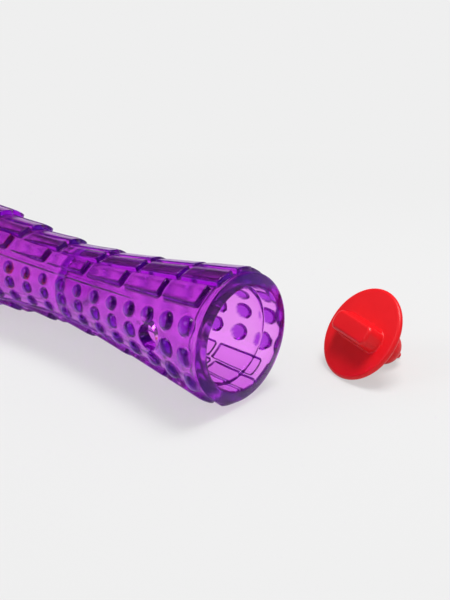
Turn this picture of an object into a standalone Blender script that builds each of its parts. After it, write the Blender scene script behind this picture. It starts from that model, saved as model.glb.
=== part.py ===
"""Treat dispensing dog toy: a waisted rubber tube with two treat chambers and two red squeaker plugs.

The left plug is seated in its mouth and the right one lies on the floor beside the open mouth.
X runs along the tube towards the open mouth, Y away from the panel with the dispensing holes, Z up.
"""
import math

import bmesh
import bpy
from mathutils import Matrix, Vector

MM = 0.001

# Tube: overall form
HALF_LENGTH = 109.0 * MM
RIM_RADIUS = 30.0 * MM
WAIST_RADIUS = 19.3 * MM
FLARE_POWER = 1.8
WALL = 6.0 * MM
PARTITION_THICKNESS = 4.5 * MM
PARTITION_FILLET = 3.0 * MM

# Lip: a sloping face between a round inner edge and a crisp outer edge that is set back
RIM_SETBACK = 1.9 * MM
RIM_OUTER_ROUND = 0.8 * MM
RIM_INNER_ROUND = 1.2 * MM

# Mouth: a straight bore with a shoulder that stops the plug's disc
MOUTH_RADIUS = 23.5 * MM
MOUTH_DEPTH = 8.3 * MM
SHOULDER_WIDTH = 1.6 * MM

# Nubs: rows on the near and far sides
NUB_PITCH = 13.35 * MM
NUB_END_MARGIN = 8.5 * MM
NUB_ROW_ANGLE = 20.9
NUB_ROW_SPREAD = 7.2
NUB_ROWS = (-1, 0, 1)
NUB_COLUMN_LEAN = 1.3 * MM
NUB_WIDTH_SHARE = 0.34
NUB_HEIGHT_SHARE = 0.28
NUB_SINK = 0.5 * MM

# Pads: rows of raised wedges on the top and the underside, tall at the end towards the open mouth
PAD_PITCH = 30.8 * MM
PAD_PITCH_LOSS = 0.053
PAD_GAP = 2.0 * MM
PAD_HEIGHT = 2.8 * MM
PAD_TOE_HEIGHT = 1.0 * MM
PAD_TOE_GROWTH = 0.022
PAD_TOE_LEAST = 0.3 * MM
PAD_ROW_ANGLE = 23.3
PAD_GAP_ANGLE = 2.2
PAD_ROWS = 4
PAD_MARGIN_OUTER_ROWS = 6.8 * MM
PAD_MARGIN_INNER_ROWS = 3.8 * MM
PAD_SHORTEST = 6.0 * MM
PAD_DRAFT = 0.4 * MM

# Ribs between the nub panels and the pad panels
RIB_ANGLE = 36.5
RIB_RADIUS = 0.9 * MM
RIB_HALF_LENGTH = 64.0 * MM
RIB_END_SINK = 0.8 * MM
RIB_FADE_POWER = 6

# Dispensing holes: each takes the place of one nub of the near panel's middle row
HOLE_RADIUS = 6.0 * MM
HOLE_COLUMN = 5

# How deep added shapes reach into the wall that carries them
SINK = 1.2 * MM

# Plug: disc, grip and collar
FIT_CLEARANCE = 0.3 * MM
DISC_THICKNESS = 3.0 * MM
GRIP_LENGTH = 31.0 * MM
GRIP_WIDTH = 11.6 * MM
GRIP_HEIGHT = 7.6 * MM
GRIP_SIDE_DRAFT = 0.8 * MM
GRIP_END_DRAFT = 2.2 * MM
GRIP_CORNER = 4.6 * MM
GRIP_TOP_ROUND = 1.8 * MM
COLLAR_WALL = 1.3 * MM
COLLAR_DEPTH = 4.5 * MM

# Squeaker bulb: a thin bladder with a nozzle and an inner neck for the reed holder
BULB_RADIUS = 8.9 * MM
BULB_WALL = 1.2 * MM
BULB_STRAIGHT = 14.0 * MM
NOZZLE_RADIUS = 1.65 * MM
NOZZLE_LENGTH = 4.0 * MM
NOZZLE_BORE_RADIUS = 0.6 * MM
NECK_RADIUS = 3.0 * MM
NECK_WALL = 1.2 * MM
NECK_DEPTH = 8.0 * MM
NECK_FLOOR = 0.7 * MM

# Reed holder: two half round blocks that clamp a thin reed
HOLDER_PROUD = 0.8 * MM
REED_THICKNESS = 0.2 * MM
REED_WIDTH = 3.0 * MM
REED_MARGIN = 0.5 * MM
BLOCK_GROOVE_WIDTH = 2.2 * MM
BLOCK_GROOVE_DEPTH = 1.2 * MM
COVER_GROOVE_WIDTH = 3.6 * MM
COVER_GROOVE_DEPTH = 0.5 * MM
CLAMP_LENGTH = 2.4 * MM

# Loose plug: where it lies and which way its grip looks
LOOSE_PLUG_X = 129.4 * MM
LOOSE_PLUG_Y = 60.8 * MM
LOOSE_PLUG_AZIMUTH = -109.0
LOOSE_PLUG_SPIN = -2.0

# Fineness of the turned and rounded shapes
BODY_STEPS = 32
CAP_STEPS = 36
BULB_STEPS = 24
HOLDER_STEPS = 20
ROUND_STEPS = 3
LIP_STEPS = 2
FLARE_STEPS = 14
CHAMBER_STEPS = 5
NUB_SIDES = 8
NUB_RINGS = 4
RIB_POINTS = 9
RIB_SIDES = 6
HOLE_STEPS = 24
MERGE = 1e-6
OVERSHOOT = 4.0 * MM

# Sizes that follow from the ones above
NUB_COLUMNS_PER_HALF = int((HALF_LENGTH - NUB_END_MARGIN) / NUB_PITCH + 0.5)
DISC_RADIUS = MOUTH_RADIUS - FIT_CLEARANCE
SHOULDER_X = HALF_LENGTH - MOUTH_DEPTH
SEAT_X = SHOULDER_X + FIT_CLEARANCE
HOLDER_RADIUS = NECK_RADIUS - FIT_CLEARANCE
BULB_TOP = -FIT_CLEARANCE
BULB_CENTRE = BULB_TOP - BULB_STRAIGHT
BULB_END = BULB_CENTRE - BULB_RADIUS
NOZZLE_TIP = BULB_END - NOZZLE_LENGTH
NECK_BOTTOM = BULB_END + BULB_WALL + NECK_FLOOR
NECK_TOP = NECK_BOTTOM + NECK_DEPTH


def clear_scene():
    """Removes what a new file starts with."""
    for obj in list(bpy.data.objects):
        bpy.data.objects.remove(obj, do_unlink=True)


def make_collection(name):
    collection = bpy.data.collections.new(name)
    bpy.context.scene.collection.children.link(collection)
    return collection


def add_object(name, mesh, collection, parent=None):
    obj = bpy.data.objects.new(name, mesh)
    collection.objects.link(obj)
    obj.parent = parent
    return obj


def add_empty(name, matrix, collection):
    empty = add_object(name, None, collection)
    empty.matrix_world = matrix
    return empty


def hide_cutter(obj):
    obj.hide_render = True
    obj.display_type = "WIRE"
    return obj


def make_material(name, colour, roughness, transmission=0.0):
    material = bpy.data.materials.new(name)
    material.use_nodes = True
    shader = material.node_tree.nodes["Principled BSDF"]
    shader.inputs["Base Color"].default_value = (*colour, 1.0)
    shader.inputs["Roughness"].default_value = roughness
    shader.inputs["Metallic"].default_value = 0.0
    shader.inputs["Transmission Weight"].default_value = transmission
    return material


def turned(name, profile, steps, collection, closed=False, parent=None):
    """A profile of (radius, height) points, turned about Z. Its outer side runs from top to bottom."""
    edges = [(i, i + 1) for i in range(len(profile) - 1)]
    if closed:
        edges.append((len(profile) - 1, 0))
    mesh = bpy.data.meshes.new(name)
    mesh.from_pydata([(radius, 0.0, height) for radius, height in profile], edges, [])
    obj = add_object(name, mesh, collection, parent)
    screw = obj.modifiers.new("Turn", "SCREW")
    screw.axis = "Z"
    screw.steps = steps
    screw.render_steps = steps
    screw.use_merge_vertices = True
    screw.merge_threshold = MERGE
    screw.use_smooth_shade = True
    return obj


def combine(obj, operation, cutter):
    modifier = obj.modifiers.new(operation.capitalize(), "BOOLEAN")
    modifier.operation = operation
    modifier.solver = "EXACT"
    modifier.object = cutter


def mesh_object(name, bm, collection, parent=None):
    mesh = bpy.data.meshes.new(name)
    bm.to_mesh(mesh)
    bm.free()
    return add_object(name, mesh, collection, parent)


def arc(centre_r, centre_z, radius, start, end, steps):
    """Points of an arc in the profile's plane, with angles in degrees from the outward direction."""
    points = []
    for i in range(steps + 1):
        angle = math.radians(start + (end - start) * i / steps)
        points.append((centre_r + radius * math.cos(angle), centre_z + radius * math.sin(angle)))
    return points


def tube_radius(x):
    """The outer radius at x: a waist that grows smoothly to the rim's radius at both ends."""
    share = min(abs(x) / HALF_LENGTH, 1.0)
    waist = WAIST_RADIUS ** FLARE_POWER
    rim = RIM_RADIUS ** FLARE_POWER
    return (waist + (rim - waist) * share ** FLARE_POWER) ** (1.0 / FLARE_POWER)


def chamber_radius(x):
    """The chamber keeps one wall thickness inside the tube, up to the shoulder's opening."""
    return min(tube_radius(x) - WALL, MOUTH_RADIUS - SHOULDER_WIDTH)


def side_direction(angle):
    """The outward direction at an angle around the tube: 0 is the near side, 90 the top."""
    turn = math.radians(angle)
    return Vector((0.0, -math.cos(turn), math.sin(turn)))


def lip_slope():
    """How far, in degrees, the lip's face leans back from square so that it touches both its rounds."""
    run = RIM_RADIUS - RIM_OUTER_ROUND - MOUTH_RADIUS - RIM_INNER_ROUND
    drop = RIM_SETBACK - RIM_INNER_ROUND
    lean = math.atan2(drop, run) + math.asin((RIM_INNER_ROUND - RIM_OUTER_ROUND) / math.hypot(run, drop))
    return math.degrees(lean)


def half_profile():
    """The right half's profile from the partition's centre, through the chamber, to the rim's outer edge."""
    face = PARTITION_THICKNESS / 2
    start_x = face + PARTITION_FILLET
    points = [(0.0, face)]
    corner_r = chamber_radius(start_x) - PARTITION_FILLET
    points += arc(corner_r, start_x, PARTITION_FILLET, -90, 0, ROUND_STEPS)
    for i in range(1, CHAMBER_STEPS + 1):
        x = start_x + (SHOULDER_X - start_x) * i / CHAMBER_STEPS
        points.append((chamber_radius(x), x))
    points.append((MOUTH_RADIUS, SHOULDER_X))
    face_turn = 90 - lip_slope()
    inner_r = MOUTH_RADIUS + RIM_INNER_ROUND
    points += arc(inner_r, HALF_LENGTH - RIM_INNER_ROUND, RIM_INNER_ROUND, 180, face_turn, LIP_STEPS)
    outer_r = RIM_RADIUS - RIM_OUTER_ROUND
    points += arc(outer_r, HALF_LENGTH - RIM_SETBACK, RIM_OUTER_ROUND, face_turn, 0, LIP_STEPS)
    return points


def tube_profile():
    """The whole closed profile: right chamber, right rim, outer side, left rim, left chamber."""
    half = half_profile()
    outer_end = HALF_LENGTH - RIM_SETBACK
    outer = []
    for i in range(1, FLARE_STEPS):
        x = outer_end - 2 * outer_end * i / FLARE_STEPS
        outer.append((tube_radius(x), x))
    mirrored = [(radius, -x) for radius, x in reversed(half)]
    return half + outer + mirrored


def nub_columns():
    for i in range(NUB_COLUMNS_PER_HALF):
        for side in (-1, 1):
            yield i, side * (i + 0.5) * NUB_PITCH


def make_nubs(collection):
    """Domes on the near and far sides, each as wide as a share of the tube's radius there.

    The rows spread towards the rims, and each column leans a little along the tube from row to row.
    """
    bm = bmesh.new()
    for column, column_x in nub_columns():
        row_angle = NUB_ROW_ANGLE + NUB_ROW_SPREAD * (column_x / HALF_LENGTH) ** 2
        for panel in (0.0, 180.0):
            for row in NUB_ROWS:
                if panel == 0.0 and row == 0 and column == HOLE_COLUMN:
                    continue
                x = column_x - row * NUB_COLUMN_LEAN
                radius = tube_radius(x)
                width = NUB_WIDTH_SHARE * radius
                rise = NUB_HEIGHT_SHARE * width + NUB_SINK
                dome = Matrix.Diagonal((width / 2, width / 2, rise, 1.0))
                out = side_direction(panel + row * row_angle)
                place = Matrix.Translation(Vector((x, 0.0, 0.0)) + out * (radius - NUB_SINK))
                matrix = place @ out.to_track_quat("Z", "X").to_matrix().to_4x4() @ dome
                bmesh.ops.create_uvsphere(bm, u_segments=NUB_SIDES, v_segments=NUB_RINGS, radius=1.0,
                                          matrix=matrix)
    return hide_cutter(mesh_object("nub_shapes", bm, collection))


def pad_toe(start):
    """A pad's height at its low end, which grows along the tube to the pad's full height."""
    return min(max(PAD_TOE_HEIGHT + PAD_TOE_GROWTH * start, PAD_TOE_LEAST), PAD_HEIGHT)


def add_pad(bm, start, end, angle):
    """One pad: a cube carried onto the flare, with a flat sloping top and its base in the wall."""
    half_angle = (PAD_ROW_ANGLE - PAD_GAP_ANGLE) / 2
    cube = bmesh.ops.create_cube(bm, size=2.0)
    for vert in cube["verts"]:
        along, across, up = vert.co
        top = up > 0
        inset = PAD_DRAFT if top else 0.0
        x = (end - inset) if along > 0 else (start + inset)
        rise = PAD_HEIGHT if along > 0 else pad_toe(start)
        radius = tube_radius(x) + (rise if top else -SINK)
        side_angle = half_angle - math.degrees(inset / radius)
        vert.co = Vector((x, 0.0, 0.0)) + side_direction(angle - across * side_angle) * radius


def make_pads(collection):
    """Rows of pads on the top and the underside, counted from the open end and longest at the waist."""
    bm = bmesh.new()
    for panel in (90.0, 270.0):
        for row in range(PAD_ROWS):
            angle = panel + (row - (PAD_ROWS - 1) / 2) * PAD_ROW_ANGLE
            margin = PAD_MARGIN_OUTER_ROWS if row in (0, PAD_ROWS - 1) else PAD_MARGIN_INNER_ROWS
            limit = HALF_LENGTH - margin
            end = limit
            while end - PAD_SHORTEST > -limit:
                pitch = PAD_PITCH - PAD_PITCH_LOSS * abs(end - PAD_PITCH / 2)
                start = max(end - pitch + PAD_GAP, -limit)
                add_pad(bm, start, end, angle)
                end -= pitch
    return hide_cutter(mesh_object("pad_shapes", bm, collection))


def add_rib(bm, angle):
    """A half round rib along the tube that sinks into the surface at both ends."""
    rings = []
    out = side_direction(angle)
    across = Vector((1.0, 0.0, 0.0)).cross(out)
    for i in range(RIB_POINTS):
        share = -1.0 + 2.0 * i / (RIB_POINTS - 1)
        x = share * RIB_HALF_LENGTH
        lift = -RIB_END_SINK * share ** RIB_FADE_POWER
        centre = Vector((x, 0.0, 0.0)) + out * (tube_radius(x) + lift)
        ring = []
        for j in range(RIB_SIDES):
            turn = math.tau * j / RIB_SIDES
            ring.append(bm.verts.new(centre + RIB_RADIUS * (out * math.cos(turn) + across * math.sin(turn))))
        rings.append(ring)
    for a, b in zip(rings, rings[1:]):
        for j in range(RIB_SIDES):
            k = (j + 1) % RIB_SIDES
            bm.faces.new((a[j], a[k], b[k], b[j]))
    bm.faces.new(rings[0][::-1])
    bm.faces.new(rings[-1])


def make_ribs(collection):
    bm = bmesh.new()
    for panel in (0.0, 180.0):
        for side in (-1, 1):
            add_rib(bm, panel + side * RIB_ANGLE)
    bmesh.ops.recalc_face_normals(bm, faces=bm.faces)
    return hide_cutter(mesh_object("rib_shapes", bm, collection))


def make_hole_cutters(collection):
    """Cylinders through the near wall only, at one nub place in each half."""
    bm = bmesh.new()
    for column, x in nub_columns():
        if column != HOLE_COLUMN:
            continue
        outer = tube_radius(x) + OVERSHOOT
        middle = Vector((x, -outer / 2, 0.0))
        matrix = Matrix.Translation(middle) @ Matrix.Rotation(math.radians(90), 4, "X")
        bmesh.ops.create_cone(bm, cap_ends=True, segments=HOLE_STEPS, depth=outer, radius1=HOLE_RADIUS,
                              radius2=HOLE_RADIUS, matrix=matrix)
    return hide_cutter(mesh_object("hole_cutters", bm, collection))


def make_body(parts, cutters):
    """The moulded tube: one solid with its partition, pads, nubs, ribs and dispensing holes."""
    body = turned("body", tube_profile(), BODY_STEPS, parts)
    body.rotation_euler = (0.0, math.radians(90), 0.0)
    body.data.materials.append(make_material("purple_rubber", (0.22, 0.02, 0.38), 0.25, 0.9))
    combine(body, "UNION", make_ribs(cutters))
    combine(body, "UNION", make_pads(cutters))
    combine(body, "UNION", make_nubs(cutters))
    combine(body, "DIFFERENCE", make_hole_cutters(cutters))
    return body


def cap_profile():
    """The plug's disc with a full round edge, and the collar on its back."""
    edge = DISC_THICKNESS / 2
    inner = BULB_RADIUS + FIT_CLEARANCE
    outer = inner + COLLAR_WALL
    points = [(0.0, DISC_THICKNESS)]
    points += arc(DISC_RADIUS - edge, edge, edge, 90, -90, 2 * ROUND_STEPS)
    points += [(outer, 0.0), (outer, -COLLAR_DEPTH), (inner, -COLLAR_DEPTH), (inner, 0.0), (0.0, 0.0)]
    return points


def make_grip(name, cutters, parent):
    """The finger grip: a bar whose ends lean in more than its sides, with round corners and top edge."""
    bm = bmesh.new()
    cube = bmesh.ops.create_cube(bm, size=1.0)
    base = DISC_THICKNESS - SINK
    top = DISC_THICKNESS + GRIP_HEIGHT
    for vert in cube["verts"]:
        high = vert.co.z > 0
        vert.co.x = math.copysign(GRIP_LENGTH / 2 - (GRIP_END_DRAFT if high else 0.0), vert.co.x)
        vert.co.y = math.copysign(GRIP_WIDTH / 2 - (GRIP_SIDE_DRAFT if high else 0.0), vert.co.y)
        vert.co.z = top if vert.co.z > 0 else base
    upright = [e for e in bm.edges if abs(e.verts[0].co.z - e.verts[1].co.z) > GRIP_HEIGHT / 2]
    bmesh.ops.bevel(bm, geom=upright, offset=GRIP_CORNER, segments=ROUND_STEPS, profile=0.5, affect="EDGES")
    rim = [e for e in bm.edges if min(v.co.z for v in e.verts) > top - GRIP_TOP_ROUND]
    bmesh.ops.bevel(bm, geom=rim, offset=GRIP_TOP_ROUND, segments=ROUND_STEPS, profile=0.5, affect="EDGES")
    bmesh.ops.recalc_face_normals(bm, faces=bm.faces)
    return hide_cutter(mesh_object(name, bm, cutters, parent))


def bulb_profile():
    """The bladder's wall as a closed ring: down its outside, up the nozzle's bore, the neck and the inside."""
    inner = BULB_RADIUS - BULB_WALL
    neck_outer = NECK_RADIUS + NECK_WALL
    points = [(BULB_RADIUS, BULB_TOP)]
    meet = math.degrees(math.asin(NOZZLE_RADIUS / BULB_RADIUS))
    points += arc(0.0, BULB_CENTRE, BULB_RADIUS, 0, -(90 - meet), 2 * ROUND_STEPS)
    tip_round = NOZZLE_RADIUS - NOZZLE_BORE_RADIUS
    points += arc(NOZZLE_BORE_RADIUS, NOZZLE_TIP + tip_round, tip_round, 0, -90, ROUND_STEPS)
    points += [(NOZZLE_BORE_RADIUS, NECK_BOTTOM), (NECK_RADIUS, NECK_BOTTOM), (NECK_RADIUS, NECK_TOP)]
    points += [(neck_outer, NECK_TOP)]
    root = math.degrees(math.acos(neck_outer / inner))
    points += arc(0.0, BULB_CENTRE, inner, -root, 0, ROUND_STEPS)
    points += [(inner, BULB_TOP)]
    return points


def make_holder_half(name, side, groove_width, groove_depth, groove_span, parts, cutters, parent):
    """Half of the reed holder, a round block split along its axis, with a groove in its flat face."""
    holder_bottom = NECK_BOTTOM + FIT_CLEARANCE
    holder_top = NECK_TOP + HOLDER_PROUD
    flat = REED_THICKNESS / 2 + FIT_CLEARANCE
    length = holder_top - holder_bottom
    middle = (holder_top + holder_bottom) / 2
    bm = bmesh.new()
    bmesh.ops.create_cone(bm, cap_ends=True, segments=HOLDER_STEPS, depth=length, radius1=HOLDER_RADIUS,
                          radius2=HOLDER_RADIUS, matrix=Matrix.Translation((0.0, 0.0, middle)))
    half = mesh_object(name, bm, parts, parent)
    reach = NECK_RADIUS + OVERSHOOT
    cut = box_cutter(name + "_split", (-reach, reach), (-side * reach, side * flat),
                     (holder_bottom - OVERSHOOT, holder_top + OVERSHOOT), cutters, parent)
    combine(half, "DIFFERENCE", cut)
    low, high = groove_span(holder_bottom, holder_top)
    groove = box_cutter(name + "_groove", (-groove_width / 2, groove_width / 2),
                        (-side * OVERSHOOT, side * (flat + groove_depth)), (low, high), cutters, parent)
    combine(half, "DIFFERENCE", groove)
    return half


def box_cutter(name, span_x, span_y, span_z, collection, parent):
    bm = bmesh.new()
    cube = bmesh.ops.create_cube(bm, size=1.0)
    spans = [sorted(span) for span in (span_x, span_y, span_z)]
    for vert in cube["verts"]:
        for axis in range(3):
            vert.co[axis] = spans[axis][1] if vert.co[axis] > 0 else spans[axis][0]
    return hide_cutter(mesh_object(name, bm, collection, parent))


def block_groove(bottom, top):
    """The channel under the reed opens at the nozzle's end and stops at the clamp."""
    return bottom - OVERSHOOT, top - CLAMP_LENGTH


def cover_groove(bottom, top):
    """The channel over the reed opens at the bulb's end and stops short of the nozzle's end."""
    return bottom + CLAMP_LENGTH, top + OVERSHOOT


def make_reed(name, parts, parent):
    """The reed: a thin strip between the two halves of its holder."""
    low = NECK_BOTTOM + FIT_CLEARANCE + REED_MARGIN
    high = NECK_TOP + HOLDER_PROUD - REED_MARGIN
    bm = bmesh.new()
    cube = bmesh.ops.create_cube(bm, size=1.0)
    for vert in cube["verts"]:
        vert.co = Vector((vert.co.x * REED_WIDTH, vert.co.y * REED_THICKNESS, high if vert.co.z > 0 else low))
    return mesh_object(name, bm, parts, parent)


def make_plug(side, matrix, materials, parts, cutters):
    """One squeaker plug. Its frame stands on the disc's back face with +Z out through the grip."""
    frame = add_empty(side + "_plug_frame", matrix, parts)
    cap = turned(side + "_plug_cap", cap_profile(), CAP_STEPS, parts, parent=frame)
    combine(cap, "UNION", make_grip(side + "_grip_shape", cutters, frame))
    cap.data.materials.append(materials["cap"])
    bulb = turned(side + "_squeaker_bulb", bulb_profile(), BULB_STEPS, parts, closed=True, parent=frame)
    bulb.data.materials.append(materials["bulb"])
    block = make_holder_half(side + "_reed_block", -1, BLOCK_GROOVE_WIDTH, BLOCK_GROOVE_DEPTH, block_groove,
                             parts, cutters, frame)
    cover = make_holder_half(side + "_reed_cover", 1, COVER_GROOVE_WIDTH, COVER_GROOVE_DEPTH, cover_groove,
                             parts, cutters, frame)
    for half in (block, cover):
        half.data.materials.append(materials["holder"])
    reed = make_reed(side + "_reed", parts, frame)
    reed.data.materials.append(materials["reed"])


def seated_matrix():
    """The left plug in its mouth, its grip upright and pointing out along -X."""
    turn = Matrix.Rotation(math.radians(-90), 4, "Y")
    return Matrix.Translation((-SEAT_X, 0.0, 0.0)) @ turn


def rest_tilt():
    """How far the loose plug's grip looks up, with its disc's edge and its bulb's round end on the floor."""
    edge = DISC_THICKNESS / 2
    reach = edge - BULB_CENTRE
    spread = DISC_RADIUS - edge
    return math.atan2(spread, reach) - math.asin((BULB_RADIUS - edge) / math.hypot(spread, reach))


def loose_matrix(floor):
    """The right plug as it lies on the floor, on its disc's edge and its bulb."""
    tilt = rest_tilt()
    edge = DISC_THICKNESS / 2
    azimuth = math.radians(LOOSE_PLUG_AZIMUTH)
    front = Vector((math.cos(tilt) * math.cos(azimuth), math.cos(tilt) * math.sin(azimuth), math.sin(tilt)))
    turn = front.to_track_quat("Z", "Y").to_matrix().to_4x4()
    spin = Matrix.Rotation(math.radians(LOOSE_PLUG_SPIN), 4, "Z")
    middle_height = floor + (DISC_RADIUS - edge) * math.cos(tilt) + edge
    middle = Vector((LOOSE_PLUG_X, LOOSE_PLUG_Y, middle_height))
    return Matrix.Translation(middle - front * edge) @ turn @ spin


def world_bounds(objects):
    """Lowest and highest corners of the evaluated objects."""
    depsgraph = bpy.context.evaluated_depsgraph_get()
    low = Vector((math.inf, math.inf, math.inf))
    high = -low
    for obj in objects:
        evaluated = obj.evaluated_get(depsgraph)
        mesh = evaluated.to_mesh()
        for vert in mesh.vertices:
            place = evaluated.matrix_world @ vert.co
            low = Vector(map(min, low, place))
            high = Vector(map(max, high, place))
        evaluated.to_mesh_clear()
    return low, high


def stand_on_origin(parts, cutters):
    """Moves the whole object so that its box stands on the origin, at the middle of its base."""
    bpy.context.view_layer.update()
    meshes = [obj for obj in parts.objects if obj.type == "MESH"]
    low, high = world_bounds(meshes)
    shift = Matrix.Translation((-(low.x + high.x) / 2, -(low.y + high.y) / 2, -low.z))
    for obj in list(parts.objects) + list(cutters.objects):
        if obj.parent is None:
            obj.matrix_world = shift @ obj.matrix_world
    bpy.context.view_layer.update()


def build():
    clear_scene()
    parts = make_collection("treat_dispensing_dog_toy")
    cutters = make_collection("shaping_bodies")
    body = make_body(parts, cutters)
    bpy.context.view_layer.update()
    floor = world_bounds([body])[0].z
    materials = {
        "cap": make_material("red_plastic", (0.80, 0.02, 0.03), 0.3),
        "bulb": make_material("red_soft_vinyl", (0.78, 0.02, 0.03), 0.38),
        "holder": make_material("white_plastic", (0.85, 0.85, 0.82), 0.35),
        "reed": make_material("clear_film", (0.80, 0.84, 0.86), 0.15, 0.8),
    }
    make_plug("left", seated_matrix(), materials, parts, cutters)
    make_plug("right", loose_matrix(floor), materials, parts, cutters)
    stand_on_origin(parts, cutters)


build()
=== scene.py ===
"""Looks of the treat dispensing dog toy: a see-through rubber tube and its two red squeaker plugs.

Shapes are worked out in millimetres, in the tube's frame (X along the tube from its middle, Z up) or in
a plug's frame (its origin on the disc's back face, +Z out through the grip), and then carried to their
places.
"""
import math

import bpy
import numpy as np
from mathutils import Matrix, Vector


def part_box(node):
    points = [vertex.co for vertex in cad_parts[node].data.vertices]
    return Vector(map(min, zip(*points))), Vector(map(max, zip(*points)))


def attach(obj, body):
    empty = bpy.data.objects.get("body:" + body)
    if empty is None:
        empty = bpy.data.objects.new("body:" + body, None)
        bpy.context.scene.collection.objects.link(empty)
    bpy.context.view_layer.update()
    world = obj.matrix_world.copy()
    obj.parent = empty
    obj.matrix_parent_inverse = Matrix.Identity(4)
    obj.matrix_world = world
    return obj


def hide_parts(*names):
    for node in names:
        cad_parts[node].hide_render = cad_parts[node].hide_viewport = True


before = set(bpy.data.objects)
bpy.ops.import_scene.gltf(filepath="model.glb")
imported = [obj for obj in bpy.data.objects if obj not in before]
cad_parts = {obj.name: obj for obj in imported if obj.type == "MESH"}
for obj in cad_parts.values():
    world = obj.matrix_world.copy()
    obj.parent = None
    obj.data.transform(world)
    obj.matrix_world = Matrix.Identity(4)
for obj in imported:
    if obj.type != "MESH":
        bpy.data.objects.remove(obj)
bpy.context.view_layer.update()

MM = 0.001

# Tube, in millimetres and degrees
HALF_LENGTH = 109.0
RIM_RADIUS = 30.0
WAIST_RADIUS = 19.3
FLARE_POWER = 1.8
WALL = 6.0
PARTITION_THICKNESS = 4.5
PARTITION_FILLET = 3.0
RIM_SETBACK = 1.9
RIM_OUTER_ROUND = 0.8
RIM_INNER_ROUND = 1.2
MOUTH_RADIUS = 23.5
MOUTH_DEPTH = 8.3
SHOULDER_WIDTH = 1.6
SHOULDER_EDGE = 1.1
SHOULDER_FILLET = 0.4

# Nubs on the near and far sides
NUB_PITCH = 13.35
NUB_COLUMNS_PER_HALF = 8
NUB_ROW_ANGLE = 20.9
NUB_ROW_SPREAD = 7.2
NUB_ROWS = (-1, 0, 1)
NUB_COLUMN_LEAN = 1.3
NUB_WIDTH_SHARE = 0.34
NUB_HEIGHT_SHARE = 0.28
NUB_SINK = 0.5

# Pads on the top and the underside
PAD_PITCH = 30.8
PAD_PITCH_LOSS = 0.053
PAD_GAP = 2.0
PAD_HEIGHT = 2.8
PAD_TOE_HEIGHT = 1.0
PAD_TOE_GROWTH = 0.022
PAD_TOE_LEAST = 0.3
PAD_ROW_ANGLE = 23.3
PAD_GAP_ANGLE = 2.2
PAD_ROWS = 4
PAD_END_OUTER_ROWS = 102.2
PAD_END_INNER_ROWS = 105.2
PAD_SHORTEST = 6.0
PAD_CORNER = 1.2
PAD_FLATNESS = 0.7
PAD_FOOT = 0.25
PAD_SLOPE = 1.0
MM_PER_DEGREE = 0.42

# Ribs between the nubs and the pads
RIB_ANGLE = 36.5
RIB_RADIUS = 0.9
RIB_HALF_LENGTH = 64.0
RIB_END_SINK = 0.8
RIB_SINK_REACH = 1.1
RIB_FADE_POWER = 6

# Dispensing holes in the near side
HOLE_RADIUS = 6.0
HOLE_COLUMN = 5
HOLE_EDGE = 0.5
HOLE_BLOCK_LENGTH = 8.4
HOLE_BLOCK_ANGLE = 22.5
HOLE_PATCH_RINGS = 7

# Painted shade on the rubber: how far into a nub its painted darker colour grows, and the lip's rows that
# are satin
NUB_SHADE_STEP = 0.12
LIP_ROWS = 14

# Plug
FIT_CLEARANCE = 0.3
DISC_THICKNESS = 3.0
GRIP_LENGTH = 31.0
GRIP_WIDTH = 11.6
GRIP_HEIGHT = 7.6
GRIP_SIDE_DRAFT = 0.8
GRIP_END_DRAFT = 2.2
GRIP_CORNER = 4.6
GRIP_TOP_ROUND = 1.8
GRIP_FOOT = 0.8
COLLAR_WALL = 1.3
COLLAR_DEPTH = 4.5
COLLAR_FILLET = 0.5
BULB_RADIUS = 8.9
BULB_WALL = 1.2
BULB_EDGE = 0.2
BULB_STRAIGHT = 14.0
NOZZLE_RADIUS = 1.65
NOZZLE_LENGTH = 4.0
NOZZLE_BORE_RADIUS = 0.6
NOZZLE_FILLET = 0.5
NECK_RADIUS = 3.0
NECK_WALL = 1.2
NECK_DEPTH = 8.0
NECK_FLOOR = 0.7
LOOSE_PLUG_X = 129.4
LOOSE_PLUG_Y = 60.8
LOOSE_PLUG_AZIMUTH = -109.0
LOOSE_PLUG_SPIN = -2.0

# Camera: its turn, its height angle, its roll and where it sees the tube's middle (right, down, ahead)
PHOTO_HEIGHT = 600
FOCAL_PIXELS = 976.6
CAMERA_YAW = 42.89
CAMERA_ELEVATION = 22.60
CAMERA_ROLL = -2.29
TUBE_SEEN_AT = (-72.43, -7.90, 496.46)
SENSOR_HEIGHT = 24.0

# Studio, in metres: a pale floor that fades to the backdrop, and two soft boxes as (place, size, power).
# The shadow shares say how much of the floor's real light shows near the object, seen straight and through
# the rubber.
BACKGROUND = "#EFEFEF"
FLOOR_SIZE = 16.0
FLOOR_FADE = (0.18, 0.4)
FLOOR_ALBEDO = 0.66
SHADOW_SHARE = 0.4
SHADOW_SHARE_THROUGH = 0.2
ROOM_LIGHT = 0.42
CEILING_SHARE = 0.6
CEILING_FADE = (0.2, 0.7)
MIRRORED_CEILING_SHARE = 0.06
MIRRORED_CEILING_FADE = (-0.05, 0.3)
MAIN_SOFT_BOX = ((0.22, 0.2, 1.15), 0.5, 12.5)
FRONT_SOFT_BOX = ((-0.55, -0.85, 0.75), 0.6, 3.5)

# Sizes that follow from the ones above
DISC_RADIUS = MOUTH_RADIUS - FIT_CLEARANCE
SHOULDER_X = HALF_LENGTH - MOUTH_DEPTH
OUTER_END = HALF_LENGTH - RIM_SETBACK
CHAMBER_LIMIT = MOUTH_RADIUS - SHOULDER_WIDTH
HOLE_X = (HOLE_COLUMN + 0.5) * NUB_PITCH


def to_linear(code):
    """An sRGB hex colour as linear red, green, blue and full alpha."""
    values = [int(code[i:i + 2], 16) / 255 for i in (1, 3, 5)]
    return (*[v / 12.92 if v <= 0.04045 else ((v + 0.055) / 1.055) ** 2.4 for v in values], 1.0)


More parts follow.
